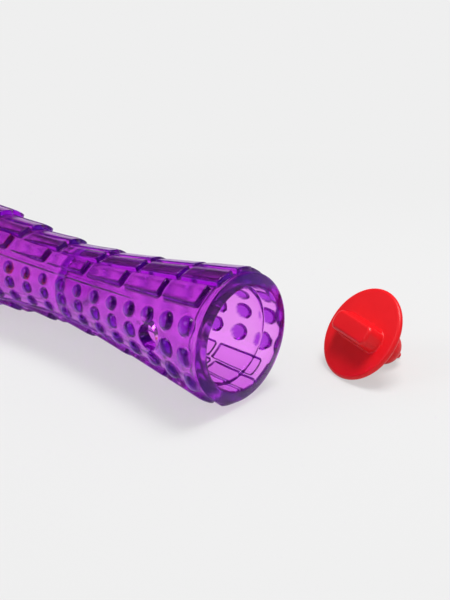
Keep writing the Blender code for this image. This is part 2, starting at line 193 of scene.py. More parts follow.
def add_node(tree, kind, settings=None, inputs=None, links=None):
    """Adds a shader node, sets its properties and sockets, and links other nodes' sockets into it."""
    node = tree.nodes.new(kind)
    for name, value in (settings or {}).items():
        setattr(node, name, value)
    for name, value in (inputs or {}).items():
        node.inputs[name].default_value = value
    for name, socket in (links or {}).items():
        tree.links.new(socket, node.inputs[name])
    return node


def arc(centre, radius, start, end, steps):
    """Points on an arc around centre (x, r), from start to end degrees, with 0 along +x and 90 along +r."""
    turn = np.radians(np.linspace(start, end, steps + 1))
    return np.stack([centre[0] + radius * np.cos(turn), centre[1] + radius * np.sin(turn)], 1)


def tube_radius(x):
    """The power mean of waist and rim radius, weighted by how far x is from the waist."""
    share = np.minimum(np.abs(x) / HALF_LENGTH, 1.0) ** FLARE_POWER
    waist = WAIST_RADIUS ** FLARE_POWER
    rim = RIM_RADIUS ** FLARE_POWER
    return (waist + (rim - waist) * share) ** (1.0 / FLARE_POWER)


def chamber_radius(x):
    """The tube's radius less its wall, and never more than the shoulder's opening."""
    return np.minimum(tube_radius(x) - WALL, CHAMBER_LIMIT)


def smooth_step(t):
    """3 t^2 - 2 t^3 between 0 and 1, flat outside."""
    t = np.clip(t, 0.0, 1.0)
    return t * t * (3.0 - 2.0 * t)


def pad_ends(limit):
    """Where the pads of a row end, counted back from the open end, and where the next one would."""
    ends = [limit]
    while ends[-1] - PAD_SHORTEST > -limit:
        ends.append(ends[-1] - PAD_PITCH + PAD_PITCH_LOSS * abs(ends[-1] - PAD_PITCH / 2))
    return ends


def pad_spans(limit):
    """(start, end) of each pad of a row that stops at limit on both sides."""
    ends = pad_ends(limit)
    return [(max(after + PAD_GAP, -limit), end) for end, after in zip(ends, ends[1:])]


PAD_OFFSETS = [(row - (PAD_ROWS - 1) / 2) * PAD_ROW_ANGLE for row in range(PAD_ROWS)]
PAD_HALF_ANGLE = (PAD_ROW_ANGLE - PAD_GAP_ANGLE) / 2
PAD_PANELS = (90.0, 270.0)
NUB_PANELS = (0.0, 180.0)

# Where the grid is fine: shares of a pad's sloping side, and degrees from a rib's middle. The last value is
# the angle in which the pad rows' places change from one row to the next.
SLOPE_SHARES = np.array([0.0, 0.2, 0.36, 0.6, 0.8, 1.0])
SLOPE_OFFSETS = SLOPE_SHARES * PAD_SLOPE - PAD_FOOT
RIB_LINES = np.array([-3.2, -2.4, -1.4, 0.0, 1.4, 2.4, 3.2])
ROW_CHANGE = 0.8

# Rings that keep a plug's flat stretches even, in millimetres: down the bulb's straight side, round the
# disc's back, and just inside the collar's foot
BULB_RINGS = (5.0, 10.0)
BACK_RING = 16.0
CORNER_RING = 0.1


def angle_lines(panel_step=1.85):
    """The grid's angles: fine lines on each pad's sides and each rib, even lines between them."""
    lines = []
    edge = SLOPE_OFFSETS / MM_PER_DEGREE
    for panel in PAD_PANELS:
        for offset in PAD_OFFSETS:
            low = panel + offset - PAD_HALF_ANGLE
            high = panel + offset + PAD_HALF_ANGLE
            middle = np.linspace(low + edge[-1], high - edge[-1], 5)[1:-1]
            lines += [*(low + edge), *middle, *(high - edge)]
    for panel in NUB_PANELS:
        inner = RIB_ANGLE + RIB_LINES[0]
        count = 2 * round(inner / panel_step)
        lines += list(panel + np.linspace(-inner, inner, count + 1)[1:-1])
        for side in (-1, 1):
            lines += list(panel + side * RIB_ANGLE + RIB_LINES)
    return np.unique(np.round(np.mod(lines, 360.0), 4))


def outer_lines(step=0.93):
    """The grid's places along the outer surface for the inner pad rows, from the open end to the other."""
    knots = [OUTER_END]
    for start, end in pad_spans(PAD_END_INNER_ROWS):
        knots += [*(end - SLOPE_OFFSETS), *(start + SLOPE_OFFSETS[::-1])]
    knots.append(-OUTER_END)
    lines = [knots[0]]
    for a, b in zip(knots, knots[1:]):
        count = max(1, math.ceil((a - b) / step))
        lines += list(np.linspace(a, b, count + 1)[1:])
    return np.array(lines)


def to_outer_rows(x):
    """Carries a place along the inner pad rows to the matching place along the outer rows."""
    inner = pad_ends(PAD_END_INNER_ROWS)[:-1]
    outer = pad_ends(PAD_END_OUTER_ROWS)
    knots = [(OUTER_END, OUTER_END), (inner[0], outer[0])]
    for a, b in zip(inner[1:], outer[1:]):
        knots += [(a + PAD_GAP, b + PAD_GAP), (a, b)]
    knots.append((-OUTER_END, -OUTER_END))
    knots = np.array(sorted(knots))
    return np.interp(x, knots[:, 0], knots[:, 1])


def row_blend(angles):
    """0 over the two middle pad rows of each panel and 1 elsewhere, changing in the gap between rows."""
    away = np.abs(np.mod(angles, 180.0) - 90.0)
    return np.clip((away - PAD_ROW_ANGLE + ROW_CHANGE / 2) / ROW_CHANGE, 0.0, 1.0)


def nub_places():
    """(x, angle, half width, rise) of every nub. A dispensing hole takes one's place in each half."""
    for column in range(NUB_COLUMNS_PER_HALF):
        for side in (-1, 1):
            column_x = side * (column + 0.5) * NUB_PITCH
            row_angle = NUB_ROW_ANGLE + NUB_ROW_SPREAD * (column_x / HALF_LENGTH) ** 2
            for panel in NUB_PANELS:
                for row in NUB_ROWS:
                    if panel == 0.0 and row == 0 and column == HOLE_COLUMN:
                        continue
                    x = column_x - row * NUB_COLUMN_LEAN
                    width = NUB_WIDTH_SHARE * float(tube_radius(x))
                    yield x, panel + row * row_angle, width / 2, NUB_HEIGHT_SHARE * width + NUB_SINK


def angle_from(angles, centre):
    """Signed degrees from centre to angles, between -180 and 180."""
    return np.mod(angles - centre + 180.0, 360.0) - 180.0


def draw_to_feet(x, angles, reach=0.45):
    """Moves grid points that lie close to a nub's foot towards its circle, so that the foot is crisp."""
    for nub_x, nub_angle, half_width, rise in nub_places():
        foot = half_width * math.sqrt(1.0 - (NUB_SINK / rise) ** 2)
        scale = math.radians(float(tube_radius(nub_x)))
        along = x - nub_x
        across = angle_from(angles, nub_angle) * scale
        away = np.hypot(along, across)
        gap = away - foot
        near = np.abs(gap) < reach
        factor = np.where(near, (foot + gap * np.abs(gap) / reach) / np.maximum(away, 1e-6), 1.0)
        x = np.where(near, nub_x + along * factor, x)
        angles = np.where(near, angles + across * (factor - 1.0) / scale, angles)
    return x, angles


def pad_toe(start):
    """A pad's height at its low end, which grows along the tube to the pad's full height."""
    return min(max(PAD_TOE_HEIGHT + PAD_TOE_GROWTH * start, PAD_TOE_LEAST), PAD_HEIGHT)


def relief(x, angles):
    """Height over the plain tube: pads, nubs and ribs.

    A pad is a wedge on a rounded rectangle, whose sides climb by a smooth step of the distance from its
    outline. A nub is half an ellipsoid sunk a little. A rib is half a circle that sinks towards its ends.
    """
    base = tube_radius(x)
    height = np.zeros_like(x)
    for panel in PAD_PANELS:
        for row, offset in enumerate(PAD_OFFSETS):
            limit = PAD_END_OUTER_ROWS if row in (0, PAD_ROWS - 1) else PAD_END_INNER_ROWS
            turn = angle_from(angles, panel + offset)
            at_side = math.cos(math.radians(PAD_HALF_ANGLE) * PAD_FLATNESS)
            flat = at_side / np.cos(np.radians(turn) * PAD_FLATNESS)
            within = np.abs(turn) < PAD_ROW_ANGLE
            for start, end in pad_spans(limit):
                toe = pad_toe(start)
                rise = toe + (PAD_HEIGHT - toe) * np.clip((x - start) / (end - start), 0.0, 1.0)
                top = np.where(within, (base + rise) * flat - base, 0.0)
                over_x = np.abs(x - (start + end) / 2) - (end - start) / 2 + PAD_CORNER
                over_turn = (np.abs(turn) - PAD_HALF_ANGLE) * MM_PER_DEGREE + PAD_CORNER
                outside = np.hypot(np.maximum(over_x, 0.0), np.maximum(over_turn, 0.0))
                inside = PAD_CORNER - outside - np.minimum(np.maximum(over_x, over_turn), 0.0)
                height = np.maximum(height, top * smooth_step((inside + PAD_FOOT) / PAD_SLOPE))
    for nub_x, nub_angle, half_width, rise in nub_places():
        across = angle_from(angles, nub_angle) * math.radians(float(tube_radius(nub_x)))
        share = 1.0 - ((x - nub_x) ** 2 + across ** 2) / half_width ** 2
        height = np.maximum(height, rise * np.sqrt(np.maximum(share, 0.0)) - NUB_SINK)
    sink = RIB_END_SINK * np.minimum(np.abs(x) / RIB_HALF_LENGTH, RIB_SINK_REACH) ** RIB_FADE_POWER
    for panel in NUB_PANELS:
        for side in (-1, 1):
            across = np.radians(angle_from(angles, panel + side * RIB_ANGLE)) * base
            rib = np.sqrt(np.maximum(RIB_RADIUS ** 2 - across ** 2, 0.0)) - sink
            height = np.maximum(height, rib)
    return height


def nub_shade_mask(x, angles):
    """Mask of the nubs' painted shade: 1 over the nubs and 0 elsewhere, with a soft step inside each nub's
    foot.
    """
    cover = np.zeros_like(x)
    for nub_x, nub_angle, half_width, _ in nub_places():
        across = angle_from(angles, nub_angle) * math.radians(float(tube_radius(nub_x)))
        away = np.hypot(x - nub_x, across) / half_width
        cover = np.maximum(cover, smooth_step((1.0 - away) / NUB_SHADE_STEP))
    return cover


def lip_slope():
    """How far, in degrees, the lip's face leans back from square so that it touches both its rounds."""
    run = RIM_RADIUS - RIM_OUTER_ROUND - MOUTH_RADIUS - RIM_INNER_ROUND
    drop = RIM_SETBACK - RIM_INNER_ROUND
    lean = math.atan2(drop, run) + math.asin((RIM_INNER_ROUND - RIM_OUTER_ROUND) / math.hypot(run, drop))
    return math.degrees(lean)


def inner_profile(hole_lines):
    """(x, r) points of one half's inside and rim, from the partition's centre to the rim's outer edge."""
    face = PARTITION_THICKNESS / 2
    bend = face + PARTITION_FILLET
    corner = float(chamber_radius(bend)) - PARTITION_FILLET
    parts = [[(face, corner * share) for share in (0.25, 0.6)]]
    parts.append(arc((bend, corner), PARTITION_FILLET, 180, 90, 5))
    low, high = hole_lines[0], hole_lines[-1]
    waist = WAIST_RADIUS ** FLARE_POWER
    share = ((CHAMBER_LIMIT + WALL) ** FLARE_POWER - waist) / (RIM_RADIUS ** FLARE_POWER - waist)
    limit_x = HALF_LENGTH * share ** (1 / FLARE_POWER)
    places = [*np.linspace(bend, low, 9)[1:-1], *hole_lines, *np.linspace(high, limit_x, 3)[1:]]
    parts.append([(x, float(chamber_radius(x))) for x in places])
    edge, fillet = SHOULDER_EDGE, SHOULDER_FILLET
    parts.append(arc((SHOULDER_X - edge, CHAMBER_LIMIT + edge), edge, -90, 0, 6))
    parts.append(arc((SHOULDER_X + fillet, MOUTH_RADIUS - fillet), fillet, 180, 90, 3))
    bore_end = HALF_LENGTH - RIM_INNER_ROUND
    parts.append([((SHOULDER_X + fillet) * (1 - t) + bore_end * t, MOUTH_RADIUS) for t in (0.33, 0.67)])
    lean = lip_slope()
    inner_lip = arc((bore_end, MOUTH_RADIUS + RIM_INNER_ROUND), RIM_INNER_ROUND, -90, lean, 6)
    outer_lip = arc((OUTER_END, RIM_RADIUS - RIM_OUTER_ROUND), RIM_OUTER_ROUND, lean, 90, 5)[:-1]
    parts += [inner_lip, [inner_lip[-1] * (1 - t) + outer_lip[0] * t for t in (0.33, 0.67)], outer_lip]
    return np.concatenate([np.array(part, float) for part in parts])


def grid_faces(rows, columns, offset, skip=()):
    """Quads between neighbouring grid lines, the columns joined round. Blocks in skip are left open."""
    keep = np.ones((rows - 1, columns), bool)
    for first, last, columns_out in skip:
        keep[first:last, columns_out] = False
    i, j = np.nonzero(keep)
    k = (j + 1) % columns
    here, after = i * columns, (i + 1) * columns
    return offset + np.stack([here + j, here + k, after + k, after + j], 1)


def make_mesh(name, points, faces, matrix=None):
    """A smooth object from points in metres and lists of face corners. Its place is in its mesh."""
    mesh = bpy.data.meshes.new(name)
    mesh.from_pydata(points.tolist(), [], [f.tolist() for part in faces for f in part])
    if matrix is not None:
        mesh.transform(matrix)
    mesh.shade_smooth()
    mesh.validate()
    obj = bpy.data.objects.new(name, mesh)
    bpy.context.scene.collection.objects.link(obj)
    return obj


def on_tube(x, angles, radius):
    """Points in the tube's frame at a place along it, an angle round it and a distance from its axis."""
    turn = np.radians(angles)
    return np.stack([x + 0.0 * turn, -radius * np.cos(turn), radius * np.sin(turn)], -1)


def hole_block(line_x, angles, hole_x, half_length, half_angle):
    """The block of grid cells round a hole: first and last line, and the columns between its edges."""
    rows = np.nonzero(np.abs(line_x - hole_x) <= half_length)[0]
    turn = angle_from(angles, 0.0)
    columns = np.nonzero(np.abs(turn) <= half_angle)[0]
    columns = columns[np.argsort(turn[columns])]
    return rows, columns


def loop_round(rows, columns):
    """The block's outline as a closed list of (row, column), once round."""
    first, last = rows[0], rows[-1]
    sides = [[(first, c) for c in columns[:-1]], [(r, columns[-1]) for r in rows[:-1]],
             [(last, c) for c in columns[:0:-1]], [(r, columns[0]) for r in rows[:0:-1]]]
    return np.array([pair for side in sides for pair in side])


def hole_rings(hole_x, edge_x, edge_angle):
    """Rings through the near wall at a dispensing hole, from the outer block's outline to the inner one.

    Outside and inside, the wall's skin is carried in straight lines from the block's outline to a circle.
    The hole is a bore along Y with a quarter round at both ends.
    """
    def skin(x, z, outer):
        base = tube_radius(x) if outer else chamber_radius(x)
        turn = np.degrees(np.arcsin(z / base))
        return on_tube(x, turn, base + relief(x, turn % 360.0) if outer else base)

    radius = float(tube_radius(hole_x))
    middle = (radius + float(chamber_radius(hole_x))) / 2
    aim = np.arctan2(middle * np.sin(np.radians(edge_angle)), edge_x - hole_x)
    rim = HOLE_RADIUS + HOLE_EDGE
    rings = {}
    for outer in (True, False):
        base = tube_radius(edge_x) if outer else chamber_radius(edge_x)
        edge_z = base * np.sin(np.radians(edge_angle))
        shares = np.linspace(0.0, 1.0, HOLE_PATCH_RINGS + 1)[1:]
        patch = [skin(edge_x * (1 - t) + (hole_x + rim * np.cos(aim)) * t,
                      edge_z * (1 - t) + rim * np.sin(aim) * t, outer) for t in shares]
        sign = 1.0 if outer else -1.0
        for turn in np.radians([30.0, 60.0, 90.0]):
            ring = patch[HOLE_PATCH_RINGS - 1].copy()
            reach = rim - HOLE_EDGE * math.sin(turn)
            ring[:, 0] = hole_x + reach * np.cos(aim)
            ring[:, 2] = reach * np.sin(aim)
            ring[:, 1] += sign * HOLE_EDGE * (1.0 - math.cos(turn))
            patch.append(ring)
        rings[outer] = patch
    wall = [rings[True][-1] * (1 - t) + rings[False][-1] * t for t in (0.33, 0.67)]
    return rings[True] + wall + rings[False][::-1]


def make_body(origin):
    """The rubber tube as one closed skin.

    A profile line runs from the partition's middle through one half's chamber, over its rim, along the
    outside and back in through the other half. It is turned about X on uneven angle lines, and the outside
    is lifted by the relief. The grid's cells round each dispensing hole make way for rings that run through
    the wall.
    """
    angles = angle_lines()
    columns = len(angles)
    outer_x = outer_lines()
    panel_x = to_outer_rows(outer_x)
    blocks = {side: hole_block(panel_x, angles, side * HOLE_X, HOLE_BLOCK_LENGTH, HOLE_BLOCK_ANGLE)
              for side in (1, -1)}
    half = inner_profile(panel_x[blocks[1][0]][::-1])
    left_half = inner_profile(-panel_x[blocks[-1][0]])
    first_row = len(half)
    blend = row_blend(angles)
    x = outer_x[:, None] * (1.0 - blend) + panel_x[:, None] * blend
    turn = np.broadcast_to(angles, x.shape)
    x, turn = draw_to_feet(x, turn)
    outside = on_tube(x, turn, tube_radius(x) + relief(x, turn))
    inside = on_tube(half[:, :1], angles, half[:, 1:])
    left_inside = on_tube(-left_half[::-1, :1], angles, left_half[::-1, 1:])
    rings = np.concatenate([inside, outside, left_inside])
    skip, strips, extra = [], [], []
    count = rings.shape[0] * columns
    for side, (rows, block_columns) in blocks.items():
        loop = loop_round(rows, block_columns)
        edge_x = panel_x[loop[:, 0]]
        edge_angle = angle_from(angles[loop[:, 1]], 0.0)
        inner_rows = np.nonzero(np.isin(np.round(rings[:, 0, 0], 6), np.round(panel_x[rows], 6)))[0]
        inner_rows = inner_rows[(inner_rows < first_row) | (inner_rows >= first_row + len(outer_x))]
        inner_loop = inner_rows[::-1][loop[:, 0] - rows[0]] * columns + loop[:, 1]
        outer_loop = (first_row + loop[:, 0]) * columns + loop[:, 1]
        new = hole_rings(side * HOLE_X, edge_x, edge_angle)[:-1]
        width = len(loop)
        strip = [outer_loop, *[count + k * width + np.arange(width) for k in range(len(new))], inner_loop]
        for a, b in zip(strip, strip[1:]):
            strips.append(np.stack([a, np.roll(a, -1), np.roll(b, -1), b], 1))
        extra += new
        count += width * len(new)
        skip.append((first_row + rows[0], first_row + rows[-1], block_columns[:-1]))
        skip.append((inner_rows[0], inner_rows[-1], block_columns[:-1]))
    face = PARTITION_THICKNESS / 2
    tube = closed_surface("tube", rings, (face, 0.0, 0.0), (-face, 0.0, 0.0), Matrix.Translation(origin),
                          skip, extra, strips)
    last_row = first_row + len(outer_x)
    satin = np.zeros(len(tube.data.vertices), np.float32)
    satin[(first_row - LIP_ROWS) * columns:(last_row + LIP_ROWS) * columns] = 1.0
    # Painted shade: the nubs' outside points are marked for a darker colour, standing in for how dark the
    # domes look
    painted_nub_shade = np.zeros(len(tube.data.vertices), np.float32)
    painted_nub_shade[first_row * columns:last_row * columns] = nub_shade_mask(x, turn).ravel()
    for label, values in (("satin", satin), ("painted_nub_shade", painted_nub_shade)):
        tube.data.attributes.new(label, "FLOAT", "POINT").data.foreach_set("value", values)
    return tube


def closed_surface(name, rings, start, end, matrix, skip=(), extra=(), strips=()):
    """Rings of points, in millimetres, joined by quads and closed at both ends by a fan to a pole."""
    rows, columns = rings.shape[:2]
    points = np.concatenate([rings.reshape(-1, 3), *extra, [start, end]]) * MM
    along = np.arange(columns)
    after = np.roll(along, -1)
    last = (rows - 1) * columns
    pole = len(points) - 2
    fans = [np.stack([np.full(columns, pole), after, along], 1),
            np.stack([last + along, last + after, np.full(columns, pole + 1)], 1)]
    return make_mesh(name, points, [grid_faces(rows, columns, 0, skip=skip), *strips, *fans], matrix)


def grip_outline(count=144):
    """Points and outward normals of the grip's rounded rectangle, evenly spaced along it."""
    flat_x = GRIP_LENGTH / 2 - GRIP_CORNER
    flat_y = GRIP_WIDTH / 2 - GRIP_CORNER
    corners = [(1, 1, 0.0), (-1, 1, 90.0), (-1, -1, 180.0), (1, -1, 270.0)]
    dense = np.concatenate([arc((sx * flat_x, sy * flat_y), GRIP_CORNER, start, start + 90, 24)
                            for sx, sy, start in corners])
    turn = np.radians(np.concatenate([np.linspace(start, start + 90, 25) for _, _, start in corners]))
    closed = np.concatenate([dense, dense[:1]])
    length = np.concatenate([[0.0], np.cumsum(np.hypot(*np.diff(closed, axis=0).T))])
    even = np.linspace(0.0, length[-1], count, endpoint=False)
    turn = np.concatenate([turn, [math.tau]])
    points = np.stack([np.interp(even, length, closed[:, axis]) for axis in (0, 1)], 1)
    heading = np.interp(even, length, turn)
    return points, np.stack([np.cos(heading), np.sin(heading)], 1)


def make_cap(name, matrix):
    """Disc, grip and collar as one skin, in rings from the middle of the back to the grip's top.

    The rings are circles on the back, round the disc's full round edge, then go over in straight lines to
    the grip's outline, climb its foot fillet, its drafted side and its rounded top edge, and shrink to a
    point.
    """
    outline, normal = grip_outline()
    aim = outline / np.linalg.norm(outline, axis=1)[:, None]
    edge = DISC_THICKNESS / 2
    inner = BULB_RADIUS + FIT_CLEARANCE
    outer = inner + COLLAR_WALL
    lip = COLLAR_WALL / 2
    back = [[(inner * t, 0.0) for t in (0.4, 0.8, 0.98)],
            [(inner, -CORNER_RING), (inner, -COLLAR_DEPTH + lip)],
            arc((inner + lip, -COLLAR_DEPTH + lip), lip, 180, 360, 6)[1:],
            arc((outer + COLLAR_FILLET, -COLLAR_FILLET), COLLAR_FILLET, 180, 90, 3),
            [(BACK_RING, 0.0)], arc((DISC_RADIUS - edge, edge), edge, -90, 90, 12)]
    rings = [(aim * r, z) for r, z in np.concatenate([np.array(part, float) for part in back])]
    foot = outline + normal * GRIP_FOOT
    shares = smooth_step(np.linspace(0.0, 1.0, 8))[1:-1]
    rings += [((DISC_RADIUS - edge) * aim * (1 - t) + foot * t, DISC_THICKNESS) for t in shares]
    for offset, z in arc((GRIP_FOOT, DISC_THICKNESS + GRIP_FOOT), GRIP_FOOT, 270, 180, 5):
        rings.append((outline + normal * offset, z))
    top = DISC_THICKNESS + GRIP_HEIGHT
    climb = GRIP_HEIGHT - GRIP_FOOT - GRIP_TOP_ROUND
    side = [(-GRIP_SIDE_DRAFT * t, DISC_THICKNESS + GRIP_FOOT + climb * t) for t in (0.25, 0.5, 0.75)]
    side += list(arc((-GRIP_SIDE_DRAFT - GRIP_TOP_ROUND, top - GRIP_TOP_ROUND), GRIP_TOP_ROUND, 0, 90, 8))
    extra_lean = (GRIP_END_DRAFT - GRIP_SIDE_DRAFT) / (GRIP_LENGTH / 2)
    for offset, z in side:
        shrink = 1.0 - extra_lean * (z - DISC_THICKNESS) / GRIP_HEIGHT
        rings.append(((outline + normal * offset) * (shrink, 1.0), z))
    last = rings[-1][0]
    rings += [(last * t, top) for t in (0.8, 0.5, 0.2)]
    stack = np.array([np.concatenate([xy, np.full((len(xy), 1), z)], 1) for xy, z in rings])
    return closed_surface(name, stack, (0.0, 0.0, 0.0), (0.0, 0.0, top), matrix)


def make_bulb(name, matrix, steps=96):
    """The squeaker's bladder: a closed profile turned about Z.

    The profile runs from the top edge down the outside, round the nozzle's tip, up its bore and back along
    the neck and the inside.
    """
    top = -FIT_CLEARANCE
    centre = top - BULB_STRAIGHT
    inner = BULB_RADIUS - BULB_WALL
    tip = centre - BULB_RADIUS - NOZZLE_LENGTH
    tip_round = NOZZLE_RADIUS - NOZZLE_BORE_RADIUS
    neck_bottom = centre - BULB_RADIUS + BULB_WALL + NECK_FLOOR
    neck_top = neck_bottom + NECK_DEPTH
    neck_outer = NECK_RADIUS + NECK_WALL
    meet = math.degrees(math.asin((NOZZLE_RADIUS + NOZZLE_FILLET) / BULB_RADIUS))
    root = math.degrees(math.acos(neck_outer / inner))
    shoulder = centre - BULB_RADIUS * math.cos(math.radians(meet))
    fillet = NOZZLE_FILLET
    parts = [[(BULB_RADIUS, top - down) for down in (BULB_EDGE, *BULB_RINGS)],
             arc((0.0, centre), BULB_RADIUS, 0, meet - 90, 22),
             arc((NOZZLE_RADIUS + fillet, shoulder - fillet), fillet, 90, 180, 5)[1:],
             arc((NOZZLE_BORE_RADIUS, tip + tip_round), tip_round, 0, -90, 8),
             [(NOZZLE_BORE_RADIUS, neck_bottom), (NECK_RADIUS, neck_bottom), (NECK_RADIUS, neck_top)],
             [(neck_outer, neck_top)], arc((0.0, centre), inner, -root, 0, 14), [(inner, top)],
             [(BULB_RADIUS - BULB_EDGE, top)]]
    profile = np.concatenate([np.array(part, float) for part in parts])[::-1]
    turn = np.linspace(0.0, math.tau, steps, endpoint=False)
    rings = np.stack([profile[:, :1] * np.cos(turn), profile[:, :1] * np.sin(turn),
                      np.broadcast_to(profile[:, 1:], (len(profile), steps))], -1)
    rows = np.concatenate([rings, rings[:1]])
    faces = grid_faces(len(rows), steps, 0) % (len(profile) * steps)
    return make_mesh(name, rings.reshape(-1, 3) * MM, [faces], matrix)


def make_material(name):
    """An empty node material. Returns the material, its tree and its output node."""
    material = bpy.data.materials.new(name)
    material.use_nodes = True
    tree = material.node_tree
    tree.nodes.clear()
    return material, tree, add_node(tree, "ShaderNodeOutputMaterial")


def tinted_rubber():
    """Clear tinted thermoplastic rubber, moulded in a smooth mould: glossy, a little softer outside.

    Its colour is in its depth: light loses green first, so a single wall is magenta and a long way through
    is a dark violet. The nubs are painted darker, a painted shade for the dark their domes show by bending
    the light, and the skin mirrors the room in a paler purple, which keeps it from looking grey.
    """
    material, tree, output = make_material("tinted_thermoplastic_rubber")
    place = add_node(tree, "ShaderNodeTexCoord")
    satin = add_node(tree, "ShaderNodeAttribute", {"attribute_name": "satin"})
    grain = add_node(tree, "ShaderNodeTexNoise", inputs={"Scale": 1 / (7 * MM), "Detail": 1.0},
                     links={"Vector": place.outputs["Object"]})
    bump = add_node(tree, "ShaderNodeBump", inputs={"Strength": 0.2, "Distance": 0.3 * MM},
                    links={"Height": grain.outputs["Fac"]})
    uneven = add_node(tree, "ShaderNodeMapRange", inputs={"To Min": 0.18, "To Max": 0.26},
                      links={"Value": grain.outputs["Fac"]})
    rough = add_node(tree, "ShaderNodeMapRange", inputs={"To Min": 0.1},
                     links={"Value": satin.outputs["Fac"], "To Max": uneven.outputs["Result"]})
    # Painted shade: the nubs' base colour is mixed from the pale tint towards a darker violet
    painted_nub_shade = add_node(tree, "ShaderNodeAttribute", {"attribute_name": "painted_nub_shade"})
    tint = add_node(tree, "ShaderNodeMix", {"data_type": "RGBA"}, links={"Factor": painted_nub_shade.outputs["Fac"]})
    tint.inputs["A"].default_value = to_linear("#FFDCFF")
    tint.inputs["B"].default_value = to_linear("#9034CC")
    shader = add_node(tree, "ShaderNodeBsdfPrincipled",
                      inputs={"Transmission Weight": 1.0, "IOR": 1.5,
                              "Specular Tint": to_linear("#E0A0F0")},
                      links={"Base Color": tint.outputs["Result"], "Roughness": rough.outputs["Result"],
                             "Normal": bump.outputs["Normal"]})
    depth = add_node(tree, "ShaderNodeVolumeAbsorption",
                     inputs={"Color": (0.82, 0.0, 0.93, 1.0), "Density": 145.0})
    tree.links.new(shader.outputs["BSDF"], output.inputs["Surface"])
    tree.links.new(depth.outputs["Volume"], output.inputs["Volume"])
    return material


def red_polypropylene():
    """Injection moulded polypropylene: a waxy gloss over a strong pigment, with very slight sink marks."""
    material, tree, output = make_material("moulded_polypropylene")
    place = add_node(tree, "ShaderNodeTexCoord")
    sinks = add_node(tree, "ShaderNodeTexNoise", inputs={"Scale": 1 / (7 * MM), "Detail": 1.5},
                     links={"Vector": place.outputs["Object"]})
    grain = add_node(tree, "ShaderNodeTexNoise", inputs={"Scale": 1 / (0.5 * MM), "Detail": 2.0},
                     links={"Vector": place.outputs["Object"]})
    soft = add_node(tree, "ShaderNodeBump", inputs={"Strength": 0.15, "Distance": 0.4 * MM},
                    links={"Height": sinks.outputs["Fac"]})
    bump = add_node(tree, "ShaderNodeBump", inputs={"Strength": 0.05, "Distance": 0.05 * MM},
                    links={"Height": grain.outputs["Fac"], "Normal": soft.outputs["Normal"]})
    rough = add_node(tree, "ShaderNodeMapRange", inputs={"To Min": 0.3, "To Max": 0.4},
                     links={"Value": grain.outputs["Fac"]})
    tint = add_node(tree, "ShaderNodeMix", {"data_type": "RGBA"}, links={"Factor": sinks.outputs["Fac"]})
    tint.inputs["A"].default_value = to_linear("#E3101A")
    tint.inputs["B"].default_value = to_linear("#EA1620")
    shader = add_node(tree, "ShaderNodeBsdfPrincipled", inputs={"IOR": 1.49, "Specular IOR Level": 0.3},
                      links={"Base Color": tint.outputs["Result"], "Roughness": rough.outputs["Result"],
                             "Normal": bump.outputs["Normal"]})
    tree.links.new(shader.outputs["BSDF"], output.inputs["Surface"])
    return material


def soft_vinyl():
    """Rotationally moulded soft vinyl: a little see-through at thin walls, with a satin skin."""
    material, tree, output = make_material("soft_vinyl")
    place = add_node(tree, "ShaderNodeTexCoord")
    grain = add_node(tree, "ShaderNodeTexNoise", inputs={"Scale": 1 / (1.0 * MM), "Detail": 3.0},
                     links={"Vector": place.outputs["Object"]})
    bump = add_node(tree, "ShaderNodeBump", inputs={"Strength": 0.1, "Distance": 0.1 * MM},
                    links={"Height": grain.outputs["Fac"]})
    rough = add_node(tree, "ShaderNodeMapRange", inputs={"To Min": 0.34, "To Max": 0.46},
                     links={"Value": grain.outputs["Fac"]})
    shader = add_node(tree, "ShaderNodeBsdfPrincipled",
                      inputs={"Base Color": to_linear("#E5141E"), "IOR": 1.53,
                              "Specular IOR Level": 0.15},
                      links={"Roughness": rough.outputs["Result"], "Normal": bump.outputs["Normal"]})
    tree.links.new(shader.outputs["BSDF"], output.inputs["Surface"])
    return material


def white_polystyrene():
    """Moulded white polystyrene: hard, slightly cool and evenly satin."""
    material, tree, output = make_material("moulded_polystyrene")
    place = add_node(tree, "ShaderNodeTexCoord")
    grain = add_node(tree, "ShaderNodeTexNoise", inputs={"Scale": 1 / (0.4 * MM), "Detail": 2.0},
                     links={"Vector": place.outputs["Object"]})
    bump = add_node(tree, "ShaderNodeBump", inputs={"Strength": 0.1, "Distance": 0.05 * MM},
                    links={"Height": grain.outputs["Fac"]})
    rough = add_node(tree, "ShaderNodeMapRange", inputs={"To Min": 0.3, "To Max": 0.42},
                     links={"Value": grain.outputs["Fac"]})
    shader = add_node(tree, "ShaderNodeBsdfPrincipled",
                      inputs={"Base Color": to_linear("#EFEFEA"), "IOR": 1.59},
                      links={"Roughness": rough.outputs["Result"], "Normal": bump.outputs["Normal"]})
    tree.links.new(shader.outputs["BSDF"], output.inputs["Surface"])
    return material


def polyester_film():
    """Calendered polyester film: glassy, with faint drawing lines along it."""
    material, tree, output = make_material("polyester_film")
    place = add_node(tree, "ShaderNodeTexCoord")
    lines = add_node(tree, "ShaderNodeTexNoise", inputs={"Scale": 1 / (0.8 * MM), "Detail": 2.0},
                     links={"Vector": place.outputs["Object"]})
    bump = add_node(tree, "ShaderNodeBump", inputs={"Strength": 0.1, "Distance": 0.02 * MM},
                    links={"Height": lines.outputs["Fac"]})
    shader = add_node(tree, "ShaderNodeBsdfPrincipled",
                      inputs={"Base Color": to_linear("#E8EEF0"), "Roughness": 0.12, "IOR": 1.57,
                              "Transmission Weight": 0.8},
                      links={"Normal": bump.outputs["Normal"]})
    tree.links.new(shader.outputs["BSDF"], output.inputs["Surface"])
    return material


def dress(obj, material):
    """Gives obj one material."""
    obj.data.materials.clear()
    obj.data.materials.append(material)


